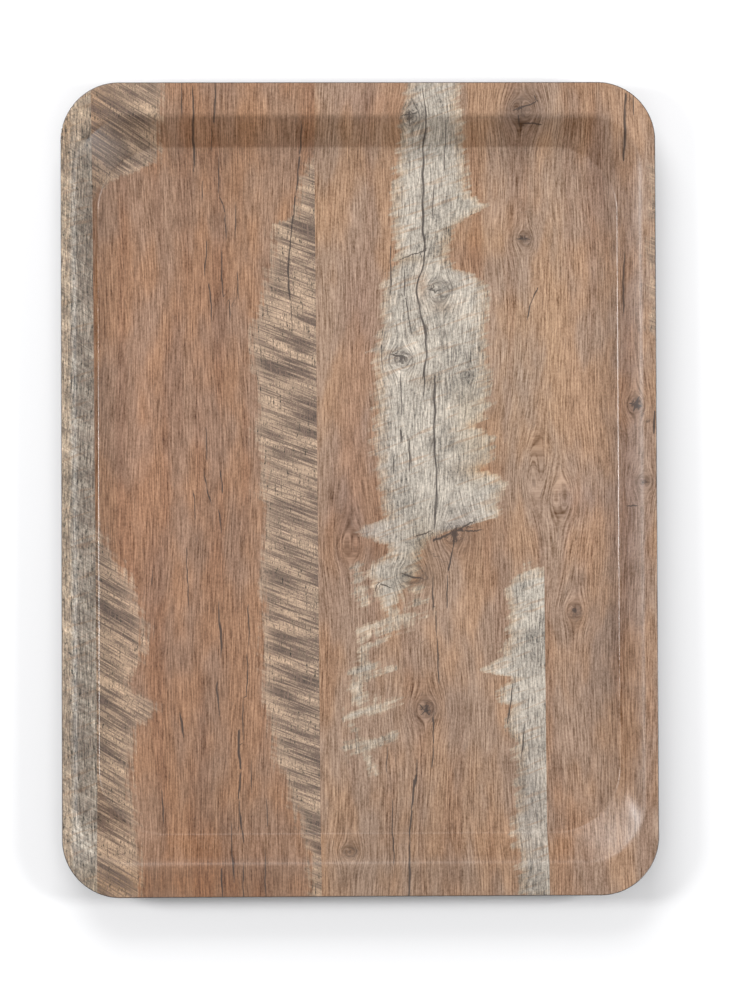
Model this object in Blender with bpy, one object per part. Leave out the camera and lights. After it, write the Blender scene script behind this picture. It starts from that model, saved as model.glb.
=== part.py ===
"""Serving tray pressed from a stack of resin-bonded sheets.

The tray is a shallow dish: a flat floor, a sloped wall all round, a narrow lip
on the two long sides and a wide, flat grip flange on each end. Six sheets are
stacked and pressed to that one shape: a clear wear overlay, a printed decor
sheet, three core sheets and a backing sheet. Every sheet is the tray's top face
carried down to its own depth, so all of them follow from the same sizes.

X runs across the tray, Y along it, Z up. The origin is at the middle of the
face that the tray rests on. Lengths are in metres.
"""

import math

import bmesh
import bpy
import numpy as np

# Outline, seen from above
TRAY_WIDTH = 0.305
TRAY_LENGTH = 0.417
OUTER_CORNER_RADIUS = 0.030

# Cross-section, on the tray's top face
TRAY_HEIGHT = 0.020  # from the table to the top of the rim
SIDE_LIP_WIDTH = 0.0073  # from the outer edge to the bend at the top of the wall
END_GRIP_WIDTH = 0.0170
SIDE_WALL_RUN = 0.0112  # from that bend to the crease at the foot of the wall
END_WALL_RUN = 0.0147
BEND_CORNER_RADIUS = 0.028
CREASE_CORNER_RADIUS = 0.034
CREASE_FILLET = 0.0018  # inside the crease, on the top face
BEND_FILLET = 0.0010  # inside the bend, on the underside

# Sheets, from the top face down
OVERLAY_THICKNESS = 0.00025
DECOR_THICKNESS = 0.00025
CORE_THICKNESS = 0.00035
CORE_SHEETS = 3
BACKING_THICKNESS = 0.00025
BOND_LINE = 0.00025  # the resin between one sheet and the next

# Facets
CORNER_STEPS = 9
BEND_STEPS = 4
CREASE_STEPS = 3


def sheet_stack():
    """(name, thickness, colour, roughness, alpha) of each sheet, from the top down."""
    overlay = ("wear_overlay", OVERLAY_THICKNESS, (0.93, 0.92, 0.90), 0.28, 0.15)
    decor = ("decor_sheet", DECOR_THICKNESS, (0.33, 0.20, 0.12), 0.45, 1.0)
    cores = [
        (f"core_sheet_{number}", CORE_THICKNESS, (0.035, 0.022, 0.016), 0.60, 1.0)
        for number in range(1, CORE_SHEETS + 1)
    ]
    backing = ("backing_sheet", BACKING_THICKNESS, (0.030, 0.026, 0.023), 0.50, 1.0)
    return [overlay, decor, *cores, backing]


def stack_thickness():
    """The whole thickness of the pressed stack, bond lines included."""
    sheets = sheet_stack()
    return sum(sheet[1] for sheet in sheets) + BOND_LINE * (len(sheets) - 1)


def profile(half_size, rim_width, wall_run, depth):
    """(distance from the middle, height) of a face that lies `depth` under the top face.

    The points run up the crease's fillet, up the wall, over the bend's fillet and out
    to the trimmed edge. Going down by one depth, the crease and the bend both move out
    by depth * tan(slope / 2), the crease's fillet grows by the depth and the bend's
    shrinks by it, so the faces stay parallel. Each fillet is smallest on its inner side.
    """
    floor = stack_thickness()
    slope = math.atan2(TRAY_HEIGHT - floor, wall_run)
    shift = depth * math.tan(slope / 2)
    bend = half_size - rim_width + shift
    crease = bend - wall_run

    radius = CREASE_FILLET + depth
    angle = np.linspace(0, slope, CREASE_STEPS + 1)
    foot = crease - radius * math.tan(slope / 2)
    crease_out = foot + radius * np.sin(angle)
    crease_up = floor - depth + radius * (1 - np.cos(angle))

    radius = BEND_FILLET + floor - depth
    angle = np.linspace(slope, 0, BEND_STEPS + 1)
    top = bend + radius * math.tan(slope / 2)
    bend_out = top - radius * np.sin(angle)
    bend_up = TRAY_HEIGHT - depth - radius * (1 - np.cos(angle))

    out = np.concatenate([crease_out, bend_out, [half_size]])
    up = np.concatenate([crease_up, bend_up, [TRAY_HEIGHT - depth]])
    return out, up, shift


def face_rings(depth):
    """The rings of points of the face at this depth, from the floor out to the edge.

    Each ring is a rounded rectangle. A corner's height passes from the side's profile
    to the end's with the square of the sine of its angle.
    """
    side_out, side_up, side_shift = profile(
        TRAY_WIDTH / 2, SIDE_LIP_WIDTH, SIDE_WALL_RUN, depth
    )
    end_out, end_up, end_shift = profile(
        TRAY_LENGTH / 2, END_GRIP_WIDTH, END_WALL_RUN, depth
    )
    shift = (side_shift + end_shift) / 2
    radii = np.concatenate([
        np.full(CREASE_STEPS + 1, CREASE_CORNER_RADIUS + shift),
        np.full(BEND_STEPS + 1, BEND_CORNER_RADIUS + shift),
        [OUTER_CORNER_RADIUS],
    ])
    corner = np.linspace(0, math.pi / 2, CORNER_STEPS + 1)
    rings = []
    for x, y, x_up, y_up, radius in zip(side_out, end_out, side_up, end_up, radii):
        ring = []
        for quarter in range(4):
            angle = corner + quarter * math.pi / 2
            middle = (quarter + 0.5) * math.pi / 2
            centre_x = math.copysign(x - radius, math.cos(middle))
            centre_y = math.copysign(y - radius, math.sin(middle))
            ring.append(np.column_stack([
                centre_x + radius * np.cos(angle),
                centre_y + radius * np.sin(angle),
                x_up * np.cos(angle) ** 2 + y_up * np.sin(angle) ** 2,
            ]))
        rings.append(np.concatenate(ring))
    return rings


def bridge(mesh, inner, outer):
    """Faces between two rings, anticlockwise seen from above when `outer` is outside."""
    count = len(inner)
    for i in range(count):
        j = (i + 1) % count
        mesh.faces.new((inner[i], outer[i], outer[j], inner[j]))


def sheet_mesh(name, depth, thickness):
    """A closed sheet: the face at this depth, the face one thickness lower, and the edge."""
    mesh = bmesh.new()
    upper = [[mesh.verts.new(p) for p in ring] for ring in face_rings(depth)]
    lower = [[mesh.verts.new(p) for p in ring] for ring in face_rings(depth + thickness)]
    mesh.faces.new(upper[0])
    mesh.faces.new(lower[0][::-1])
    for inner, outer in zip(upper, upper[1:]):
        bridge(mesh, inner, outer)
    for inner, outer in zip(lower, lower[1:]):
        bridge(mesh, outer, inner)
    bridge(mesh, upper[-1], lower[-1])
    made = bpy.data.meshes.new(name)
    mesh.to_mesh(made)
    mesh.free()
    made.shade_smooth()
    made.set_sharp_from_angle(angle=math.radians(35))
    return made


def sheet_material(name, colour, roughness, alpha):
    material = bpy.data.materials.new(name)
    material.use_nodes = True
    shader = material.node_tree.nodes["Principled BSDF"]
    shader.inputs["Base Color"].default_value = (*colour, 1)
    shader.inputs["Roughness"].default_value = roughness
    shader.inputs["Metallic"].default_value = 0
    shader.inputs["Alpha"].default_value = alpha
    return material


def clear_scene():
    for thing in list(bpy.data.objects):
        bpy.data.objects.remove(thing)


def main():
    clear_scene()
    depth = 0.0
    for name, thickness, colour, roughness, alpha in sheet_stack():
        sheet = bpy.data.objects.new(name, sheet_mesh(name, depth, thickness))
        sheet.data.materials.append(sheet_material(name, colour, roughness, alpha))
        bpy.context.scene.collection.objects.link(sheet)
        depth += thickness + BOND_LINE


main()
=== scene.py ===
# %% [markdown]
# # A pressed serving tray with a rustic plank decor
# The tray is hot-pressed from resin-soaked sheets: a clear overlay, a printed wood decor, a dark
# paper core and a plain backing. This script loads the fixed model of the tray, makes a finer sheet
# for each of its plain ones, paints the planks with shader nodes, and sets up the light and the
# camera. Lengths are in metres, and in millimetres where the name or the text says so.

# %% Load the frame
import math

import bpy
import numpy as np
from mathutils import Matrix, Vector


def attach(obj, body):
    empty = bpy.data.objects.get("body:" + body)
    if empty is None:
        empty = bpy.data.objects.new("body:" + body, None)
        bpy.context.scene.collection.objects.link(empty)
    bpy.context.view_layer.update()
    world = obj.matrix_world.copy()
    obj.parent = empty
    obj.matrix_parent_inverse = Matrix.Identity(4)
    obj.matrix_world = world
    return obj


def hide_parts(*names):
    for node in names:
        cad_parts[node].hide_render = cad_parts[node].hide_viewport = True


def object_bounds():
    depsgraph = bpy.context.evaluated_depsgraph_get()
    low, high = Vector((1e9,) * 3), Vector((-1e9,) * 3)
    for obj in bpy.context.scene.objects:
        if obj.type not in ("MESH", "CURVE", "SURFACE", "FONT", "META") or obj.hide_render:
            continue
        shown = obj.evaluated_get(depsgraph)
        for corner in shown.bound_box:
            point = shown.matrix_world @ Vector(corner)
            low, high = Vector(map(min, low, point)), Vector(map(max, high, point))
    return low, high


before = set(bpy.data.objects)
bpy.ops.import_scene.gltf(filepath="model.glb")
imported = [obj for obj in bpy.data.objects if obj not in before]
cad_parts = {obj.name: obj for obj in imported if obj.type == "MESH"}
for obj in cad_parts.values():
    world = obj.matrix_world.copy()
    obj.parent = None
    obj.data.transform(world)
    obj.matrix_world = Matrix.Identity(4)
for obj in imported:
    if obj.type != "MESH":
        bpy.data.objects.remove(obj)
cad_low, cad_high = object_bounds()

HALF_WIDTH = cad_high.x
HALF_LENGTH = cad_high.y
HEIGHT = cad_high.z
print("tray:", [round(1000 * s, 1) for s in (2 * HALF_WIDTH, 2 * HALF_LENGTH, HEIGHT)], "mm")

# %% [markdown]
# ## The camera
# The tray is seen from almost straight above. The camera comes first, because everything else is
# judged through it. A wide lens close by would splay the walls outwards, so a long lens stands far
# away instead. It stands a little left of the middle and towards the near end, so the four walls
# don't look quite alike.

# %% Camera
CAMERA_AT = Vector((-0.063, -0.075, 2.498))
CAMERA_TURN = [math.radians(a) for a in (1.597, -1.636, -0.192)]
CAMERA_LENS_MM = 174.5
CAMERA_SEES_TO = 20.0


def make_camera():
    data = bpy.data.cameras.new("camera")
    data.lens = CAMERA_LENS_MM
    data.clip_end = CAMERA_SEES_TO
    camera = bpy.data.objects.new("camera", data)
    camera.location = CAMERA_AT
    camera.rotation_mode = "ZYX"
    camera.rotation_euler = CAMERA_TURN
    bpy.context.scene.collection.objects.link(camera)
    bpy.context.scene.camera = camera


make_camera()
print("camera stands", round(CAMERA_AT.z, 2), "m above the table")

# %% [markdown]
# ## The shape of the press
# All the sheets have one shape, the face of the press tool. It could be lofted from a few rings and
# smoothed with a subdivision surface, but then its fillets would be only roughly right. Here the
# cross-section is worked out exactly, with a true arc at the crease and at the bend, and then swept
# round a rounded rectangle.

# %% Sizes of the press tool
# The run of a wall is how far it goes inwards, seen from above. The fillets are the tight sides.
SIDE_LIP_WIDTH = 0.0073
END_GRIP_WIDTH = 0.0170
SIDE_WALL_RUN = 0.0112
END_WALL_RUN = 0.0147
EDGE_CORNER_RADIUS = 0.030
BEND_CORNER_RADIUS = 0.028
CREASE_CORNER_RADIUS = 0.034
CREASE_FILLET = 0.0018
BEND_FILLET = 0.0010
TRIM_FILLET = 0.0004
THICKNESS = 0.00305
for place, wall_run in (("side", SIDE_WALL_RUN), ("end", END_WALL_RUN)):
    slope = math.degrees(math.atan2(HEIGHT - THICKNESS, wall_run))
    print(place, "wall slope:", round(slope, 1), "degrees")


# %% Cross-section
def between(start, end, steps):
    """The points that cut a straight run into equal steps, without its two ends."""
    share = np.linspace(0, 1, steps + 1)[1:-1]
    return start + share * (end - start)


def cross_section(half_size, rim_width, wall_run, depth, steps):
    """(out, up) of a face `depth` under the top face, from the trimmed edge in to the foot.

    The slope of the wall is atan(rise / run). At a depth d the bend and the crease lie
    d * tan(slope / 2) further out. An arc of radius R between two straight runs starts
    R * tan(slope / 2) before their corner, and its points are R * sin and R * (1 - cos).
    `steps` is how many facets the trim, the rim, the bend, the wall and the crease get.
    """
    trim_steps, rim_steps, bend_steps, wall_steps, crease_steps = steps
    slope = math.atan2(HEIGHT - THICKNESS, wall_run)
    bend = half_size - rim_width + depth * math.tan(slope / 2)
    crease = bend - wall_run
    trim = TRIM_FILLET if depth == 0 else 0.0

    turn = np.linspace(0, math.pi / 2, trim_steps + 1)
    trim_out = half_size - trim + trim * np.cos(turn)
    trim_up = HEIGHT - depth - trim + trim * np.sin(turn)

    radius = BEND_FILLET + THICKNESS - depth
    turn = np.linspace(0, slope, bend_steps + 1)
    bend_out = bend + radius * math.tan(slope / 2) - radius * np.sin(turn)
    bend_up = HEIGHT - depth - radius * (1 - np.cos(turn))

    radius = CREASE_FILLET + depth
    turn = np.linspace(slope, 0, crease_steps + 1)
    crease_out = crease - radius * math.tan(slope / 2) + radius * np.sin(turn)
    crease_up = THICKNESS - depth + radius * (1 - np.cos(turn))

    rim_out = between(trim_out[-1], bend_out[0], rim_steps)
    rim_up = between(trim_up[-1], bend_up[0], rim_steps)
    wall_out = between(bend_out[-1], crease_out[0], wall_steps)
    wall_up = between(bend_up[-1], crease_up[0], wall_steps)

    out = np.concatenate([trim_out, rim_out, bend_out, wall_out, crease_out])
    up = np.concatenate([trim_up, rim_up, bend_up, wall_up, crease_up])
    return out, up


# %% [markdown]
# The corners aren't concentric on the real tool: the crease has a larger radius than the bend above
# it, so the wall leans back a little in each corner. The radius is therefore eased from ring to ring,
# where a plain offset of the outline would only shrink it.


# %% Rings of a face
def corner_radii(depth, steps):
    """Corner radius of each ring of `cross_section`, eased from edge to bend to crease."""
    trim_steps, rim_steps, bend_steps, wall_steps, crease_steps = steps
    slope = math.atan2(HEIGHT - THICKNESS, (SIDE_WALL_RUN + END_WALL_RUN) / 2)
    shift = depth * math.tan(slope / 2)
    return np.concatenate([
        np.full(trim_steps + 1, EDGE_CORNER_RADIUS),
        np.linspace(EDGE_CORNER_RADIUS, BEND_CORNER_RADIUS + shift, rim_steps + 1)[1:-1],
        np.full(bend_steps + 1, BEND_CORNER_RADIUS + shift),
        np.linspace(BEND_CORNER_RADIUS, CREASE_CORNER_RADIUS, wall_steps + 1)[1:-1] + shift,
        np.full(crease_steps + 1, CREASE_CORNER_RADIUS + shift),
    ])


def face_rings(depth, steps):
    """The rings of a face: half width, half length, corner radius, side height, end height."""
    side_out, side_up = cross_section(HALF_WIDTH, SIDE_LIP_WIDTH, SIDE_WALL_RUN, depth, steps)
    end_out, end_up = cross_section(HALF_LENGTH, END_GRIP_WIDTH, END_WALL_RUN, depth, steps)
    return np.stack([side_out, end_out, corner_radii(depth, steps), side_up, end_up])


# %% [markdown]
# ## From rings to points
# A rounded rectangle could be walked round with an angle, but then the facets crowd into the
# corners. Instead a flat grid of cells is laid out, and each concentric ring of its cells is bent
# onto one rounded rectangle by arc length. The cells stay nearly square all over, the middle of the
# floor closes by itself, and there is no pole where smooth shading would pinch.


# %% Bend a grid onto the rings
def place_on_rings(rings, ring, across, along, on_side):
    """Points of a ring. `across` and `along` run from -1 to 1 over a ring's width and length.

    A quarter of a ring, from the middle of a side to the middle of its corner, is a straight
    run and an eighth of a circle. A share of that length is a point on the run, or an angle
    on the arc. The height passes from the side's profile to the end's as cos^2 and sin^2.
    """
    half_x, half_y, radius, side_up, end_up = rings[:, ring]
    run = np.where(on_side, half_y, half_x) - radius
    share = np.abs(np.where(on_side, along, across))
    walked = share * (run + radius * math.pi / 4)
    arc = np.maximum(walked - run, 0) / np.maximum(radius, 1e-9)
    near = np.minimum(walked, run) + radius * np.sin(arc)
    far = np.where(on_side, half_x, half_y) - radius + radius * np.cos(arc)
    angle = np.where(on_side, arc, math.pi / 2 - arc)
    x = np.where(on_side, far, near) * np.sign(across)
    y = np.where(on_side, near, far) * np.sign(along)
    z = side_up * np.cos(angle) ** 2 + end_up * np.sin(angle) ** 2
    return np.stack([x, y, z], axis=-1)


def grid_points(rings, extra):
    """A grid of points over the whole face, rings numbered from the edge in to the spine.

    The grid is `extra` cells longer than it is wide, so its middle is a line and not a point.
    """
    count = rings.shape[1] - 1
    wide, long = 2 * count, 2 * count + extra
    i, j = np.meshgrid(np.arange(wide + 1), np.arange(long + 1))
    from_side = np.minimum(i, wide - i)
    from_end = np.minimum(j, long - j)
    ring = np.minimum(from_side, from_end)
    across = (i - wide / 2) / np.maximum(wide / 2 - ring, 0.5)
    along = (j - long / 2) / (long / 2 - ring)
    return place_on_rings(rings, ring, across, along, from_side <= from_end)


def border_of(wide, long):
    """Indices of a grid's outermost points, anticlockwise from its first corner."""
    index = np.arange((wide + 1) * (long + 1)).reshape(long + 1, wide + 1)
    return np.concatenate([index[0, :-1], index[:-1, -1], index[-1, :0:-1], index[:0:-1, 0]])


# %% [markdown]
# ## A sheet
# Each sheet is a closed shell: an upper face, a trimmed edge and a lower face. Solidify could give
# the thickness, but it moves each point along its own normal and closes up at the tight side of a
# fillet. Both faces are computed instead, each at its own depth under the top face of the tray. The
# printed face gets an even grid of small cells, because its vertices will carry the print's layout.

# %% Rings and loops
FINE_STEPS = (3, 8, 8, 8, 6)
PLAIN_STEPS = (1, 1, 5, 1, 5)
FLOOR_CELL = 0.0014


def floor_rings(foot, cell):
    """Rings that shrink from the foot of the wall to the spine along the middle."""
    count = int(round(foot[0] / cell))
    left = np.linspace(1, 0, count + 1)[1:]
    half_x = foot[0] * left
    return np.stack([
        half_x,
        foot[1] - foot[0] + half_x,
        foot[2] * left,
        np.full(count, foot[3]),
        np.full(count, foot[4]),
    ])


def loop_points(rings, wide, long):
    """The points of each ring of the rim and wall, with as many points as the grid's border."""
    i, j = np.meshgrid(np.arange(wide + 1), np.arange(long + 1))
    border = border_of(wide, long)
    i, j = i.ravel()[border], j.ravel()[border]
    across = (i - wide / 2) / (wide / 2)
    along = (j - long / 2) / (long / 2)
    on_side = np.minimum(i, wide - i) <= np.minimum(j, long - j)
    count = rings.shape[1]
    ring = np.repeat(np.arange(count), len(border))
    tile = [np.tile(a, count) for a in (across, along, on_side)]
    return place_on_rings(rings, ring, *tile)


def loop_faces(count, size, start, flip):
    """Quads between neighbouring loops of `size` points, the loops numbered from the edge in."""
    loop = np.arange(count - 1)[:, None] * size + start
    here = np.arange(size)[None, :]
    after = (here + 1) % size
    quads = np.stack([loop + here, loop + after, loop + size + after, loop + size + here], -1)
    quads = quads.reshape(-1, 4)
    return quads[:, ::-1] if flip else quads


# %% [markdown]
# The printed sheet has its grid above and plain loops below, joined along the trimmed edge. The core
# and the backing show only their edges and the underside, so loops are enough for them: the flat
# floor is one face, and no grid is spent on what nobody sees.

# %% Build a sheet
SHARP_EDGE = math.radians(35)
LOOP_CELLS = (120, 164)


def finish_mesh(name, points, faces):
    """A smooth mesh object, with the trimmed edge kept sharp."""
    mesh = bpy.data.meshes.new(name)
    mesh.from_pydata(points.tolist(), [], faces)
    mesh.validate()
    mesh.shade_smooth()
    mesh.set_sharp_from_angle(angle=SHARP_EDGE)
    piece = bpy.data.objects.new(name, mesh)
    bpy.context.scene.collection.objects.link(piece)
    return piece


def closed_below(border, start, rings):
    """Faces from the points `border` over the trimmed edge and the loops that begin at `start`."""
    size, count = len(border), rings.shape[1]
    here = np.arange(size)
    after = (here + 1) % size
    edge = np.stack([border, start + here, start + after, border[after]], -1)
    underside = loop_faces(count, size, start, True)
    cap = start + (count - 1) * size + here
    return [*edge.tolist(), *underside.tolist(), cap[::-1].tolist()]


def gridded_sheet(name, depth, thickness):
    """A sheet with an even grid of cells on its upper face and plain loops on its lower face."""
    rim = face_rings(depth, FINE_STEPS)
    rings = np.concatenate([rim, floor_rings(rim[:, -1], FLOOR_CELL)], axis=1)
    upper = grid_points(rings, 2 * int(round(rings[1, -1] / FLOOR_CELL)))
    long, wide = upper.shape[0] - 1, upper.shape[1] - 1
    index = np.arange(upper.shape[0] * upper.shape[1]).reshape(upper.shape[:2])
    corners = (index[:-1, :-1], index[:-1, 1:], index[1:, 1:], index[1:, :-1])
    cells = np.stack(corners, -1).reshape(-1, 4)
    bottom = face_rings(depth + thickness, PLAIN_STEPS)
    points = [upper.reshape(-1, 3), loop_points(bottom, wide, long)]
    faces = [*cells.tolist(), *closed_below(border_of(wide, long), index.size, bottom)]
    return finish_mesh(name, np.concatenate(points), faces)


def looped_sheet(name, depth, thickness):
    """A sheet made only of loops, for the core and the backing: its floor is one flat face."""
    top = face_rings(depth, PLAIN_STEPS)
    bottom = face_rings(depth + thickness, PLAIN_STEPS)
    points = [loop_points(rings, *LOOP_CELLS) for rings in (top, bottom)]
    size, count = 2 * sum(LOOP_CELLS), top.shape[1]
    here = np.arange(size)
    faces = [*loop_faces(count, size, 0, False).tolist(), ((count - 1) * size + here).tolist()]
    faces += closed_below(here, count * size, bottom)
    return finish_mesh(name, np.concatenate(points), faces)


# %% [markdown]
# The overlay and the decor are made as one face sheet, since nothing shows between them. A hair of a
# seam is left between the sheets, so that no two faces lie in one place and flicker.

# %% Make the sheets
FACE_THICKNESS = 0.00075
CORE_SHEETS = 3
BACKING_THICKNESS = 0.0005
SEAM = 0.00002

decor_face = gridded_sheet("decor_face", 0.0, FACE_THICKNESS)
core_thickness = (THICKNESS - FACE_THICKNESS - BACKING_THICKNESS) / CORE_SHEETS
core_plies = [
    looped_sheet(
        f"core_ply_{n + 1}", FACE_THICKNESS + n * core_thickness + SEAM, core_thickness - SEAM
    )
    for n in range(CORE_SHEETS)
]
backing_face = looped_sheet(
    "backing_face", THICKNESS - BACKING_THICKNESS + SEAM, BACKING_THICKNESS - SEAM
)
for piece in (decor_face, *core_plies, backing_face):
    print(piece.name, len(piece.data.polygons), "faces")

# %% [markdown]
# ## Where the print changes
# The decor is a print of four old planks. Real planks change along lines: a joint, the edge of a
# weathered patch, the reach of a saw. Painting such a layout with noise alone would put everything
# in the wrong place, and one node per edge would be a very large graph. So the large layout is
# worked out in numpy on the vertices, in millimetres from the middle of the tray, and the shader
# only makes the edges ragged and adds the grain.

# %% Read the vertices
POINTS = np.empty(len(decor_face.data.vertices) * 3, np.float32)
decor_face.data.vertices.foreach_get("co", POINTS)
X_MM, Y_MM = 1000 * POINTS.reshape(-1, 3)[:, :2].astype(float).T


def store(name, kind, values):
    """Put one value, or one vector, on each vertex for the shader to read."""
    layer = decor_face.data.attributes.new(name, kind, "POINT")
    key = {"FLOAT": "value", "FLOAT_VECTOR": "vector"}[kind]
    layer.data.foreach_set(key, np.ascontiguousarray(values, np.float32).ravel())
    print(f"{name}: {values.min():.1f} to {values.max():.1f}")


# %% [markdown]
# A patch is given by rows (y, left edge, right edge). Its depth is how far inside it a point lies,
# and is negative outside. A bar is a short streak: a line with a thickness. Some patches end at a
# joint or at the rim. One of their edges is a straight line that lies past it.


# %% Patches and bars
PAST_END_MM = 1.0


def patch_depth(rows):
    """min(x - left, right - x), with both edges read between the rows at the point's y.

    At its first and last row the patch ends, PAST_END_MM further on.
    """
    up, left, right = np.array(sorted(rows), float).T
    inside = np.minimum(X_MM - np.interp(Y_MM, up, left), np.interp(Y_MM, up, right) - X_MM)
    return np.minimum(inside, np.minimum(Y_MM - up[0], up[-1] - Y_MM) + PAST_END_MM)


def edge_rows(rows, left=None, right=None):
    """Rows from pairs (y, edge) and one straight edge, which is either the left or the right."""
    return [(y, x, right) if left is None else (y, left, x) for y, x in rows]


def bar_depth(x0, y0, x1, y1, thickness):
    """Half the thickness less the distance to the nearest point of the line."""
    run = np.array([x1 - x0, y1 - y0])
    share = ((X_MM - x0) * run[0] + (Y_MM - y0) * run[1]) / (run @ run)
    share = np.clip(share, 0, 1)
    away = np.hypot(X_MM - x0 - share * run[0], Y_MM - y0 - share * run[1])
    return thickness / 2 - away


# %% [markdown]
# Where an old plank lay in the weather, its brown skin is gone and the grey wood shows, in patches
# with torn edges. One long patch runs down the third plank and breaks up into short streaks, and a
# second stands against the joint further down.

# %% Weathered grey patches
LONG_PATCH = [
    (212, 25, 53), (195, 22, 52), (180, 21, 55), (165, 19.5, 57), (155, 18.5, 58),
    (150, 18, 60), (147, 18, 68), (143, 18, 62), (139, 18, 54), (130, 18.5, 48),
    (122, 19, 46), (115, 18, 48), (111, 15, 60), (106, 13, 67), (90, 12, 67), (80, 10, 66),
    (70, 7, 66), (60, 9, 68), (44, 8, 69), (37, 7, 66), (33, 7, 58), (27, 7, 70), (18, 8, 70),
    (10, 9, 64), (5, 9.5, 76), (-3, 12, 74), (-15, 13, 73), (-18, 4, 60), (-22, -3, 44),
    (-25, 4, 38), (-29, 14, 35), (-35, 15, 32), (-39, 5, 32), (-44, 4, 31), (-50, 6, 26),
    (-56, 9, 21), (-64, 11, 19),
]
SHORT_PATCH = edge_rows([
    (-41, 86), (-46, 80), (-51, 74), (-60, 76), (-76, 77), (-86, 73), (-91, 65), (-94, 61),
    (-97, 77), (-103, 73), (-108, 70), (-112, 76), (-124, 75), (-130, 80), (-160, 80), (-175, 79),
    (-212, 81),
], right=120)
STREAKS = [
    # from x, y, to x, y, thickness
    (1, -74, 25, -67, 7), (20, -68, 38, -63, 3), (1, -79, 2, -90, 5), (0, -95, 5, -93, 9),
    (4, -94, 16, -92, 4), (-2, -100, 1, -113, 8), (-5, -116, 9, -112, 7), (8, -112, 18, -109, 4),
    (-5, -120, -1, -126, 4), (-5, -133, 8, -130, 7), (7, -131, 17, -127, 4), (2, -136, 8, -146, 4),
    (-1, -40, 2, -59, 6), (22, -50, 32, -52, 4), (24, -58, 34, -57, 3), (4, -80, 12, -78, 3),
]
grey = np.maximum(patch_depth(LONG_PATCH), patch_depth(SHORT_PATCH))
for streak in STREAKS:
    grey = np.maximum(grey, bar_depth(*streak))
store("grey_depth", "FLOAT", grey)

# %% [markdown]
# A plank's rough edges were never planed, so the marks of the saw are left there: in a long lens
# against the middle joint, in two corners against the left joint, and a little at the right rim.

# %% Saw-marked edges
LENS = edge_rows([
    (173, -25), (165, -28), (160, -31), (150, -33), (141, -35), (137, -45), (120, -46),
    (110, -48), (90, -54), (80, -57), (60, -56), (40, -53), (30, -55), (10, -50), (0, -53),
    (-10, -50), (-40, -52), (-110, -51), (-130, -46), (-143, -44), (-150, -39), (-160, -38),
    (-170, -33), (-190, -29), (-212, -27),
], right=0)
LOWER_LEFT = edge_rows([
    (-14, -133), (-30, -127), (-42, -119), (-50, -115), (-70, -108), (-82, -108), (-92, -114),
    (-100, -117), (-105, -112), (-110, -103), (-115, -105), (-123, -114), (-140, -115),
    (-150, -117), (-160, -114), (-180, -113), (-190, -110), (-212, -111),
], left=-160)
UPPER_LEFT = edge_rows([
    (212, -98), (190, -100), (183, -103), (175, -100), (168, -103), (164, -116), (158, -127),
    (151, -134),
], left=-160)
FAR_RIGHT = edge_rows([
    (172, 153), (166, 148), (156, 148), (150, 152), (146, 147), (139, 147), (134, 152),
    (126, 146), (115, 147), (110, 152), (104, 146), (98, 148), (93, 152), (86, 147), (80, 148),
    (76, 154),
], right=200)
zones = [patch_depth(rows) for rows in (LENS, LOWER_LEFT, UPPER_LEFT, FAR_RIGHT)]
store("saw_depth", "FLOAT", np.max(zones, axis=0))

# %% [markdown]
# The saw left slanting marks, steeper near the left edge than in the middle. Two turned coordinates,
# one along the marks and one across them, let a plain stretched noise follow the slant. They change
# over where plain brown wood lies between, so the jump doesn't show.

# %% Saw coordinates
MIDDLE_SLANT = 0.38
LEFT_SLANT = 0.60
LEFT_SLANT_ENDS_MM = -80.0
slant = np.where(X_MM < LEFT_SLANT_ENDS_MM, LEFT_SLANT, MIDDLE_SLANT)
length = np.sqrt(1 + slant**2)
along_marks = (X_MM - slant * Y_MM) / length
across_marks = (Y_MM + slant * X_MM) / length
store("saw_at", "FLOAT_VECTOR", np.stack([along_marks, across_marks, 0 * slant], 1))

# %% [markdown]
# Grain runs round a knot as a stream runs round a post. The lines of a stream round a post of
# radius R keep the value of d * (1 - R^2 / r^2), where d is the distance to the side of the post and
# r the distance from its middle. Taking that value as the coordinate across the grain bends every
# stripe that is drawn with it.

# %% Grain coordinates
POST_SHARE = 0.85
POST_SOFTNESS = 0.45
POST_FADE = 30.0
GRAIN_KNOTS = [
    # x, y, reach across, reach along
    (27, 191, 6, 7), (42, 102, 8, 9), (22, 67, 8, 8), (55, 59, 4, 4), (49, -23, 9, 12),
    (26, -44, 9, 9), (34, -113, 7, 8), (-6, -186, 5, 5), (86, 129, 5, 6), (84, 194, 10, 10),
    (142, 43, 5, 7), (111, -63, 6, 8), (146, 3, 5, 6), (-4, -28, 8, 14), (92, 8, 7, 22),
    (104, -4, 8, 16),
]


def grain_across():
    """x with two slow waves of 1.6 and 0.7 mm, pushed aside by each knot.

    The push is dx * share / (softness + r^2) * exp(-r^2 / fade), where r is 1 on the knot's own
    oval. The softness stands in for the post's inside, so the stripes close there and don't break.
    """
    across = X_MM + 1.6 * np.sin(Y_MM / 55 + X_MM / 38) + 0.7 * np.sin(Y_MM / 21 - X_MM / 17)
    for x, y, wide, long in GRAIN_KNOTS:
        dx, dy = X_MM - x, Y_MM - y
        reach = (dx / wide) ** 2 + (dy / long) ** 2
        push = POST_SHARE * dx / (POST_SOFTNESS + reach)
        across = across - push * np.exp(-reach / POST_FADE)
    return across


store("grain_at", "FLOAT_VECTOR", np.stack([grain_across(), Y_MM, 0 * Y_MM], 1))
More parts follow.
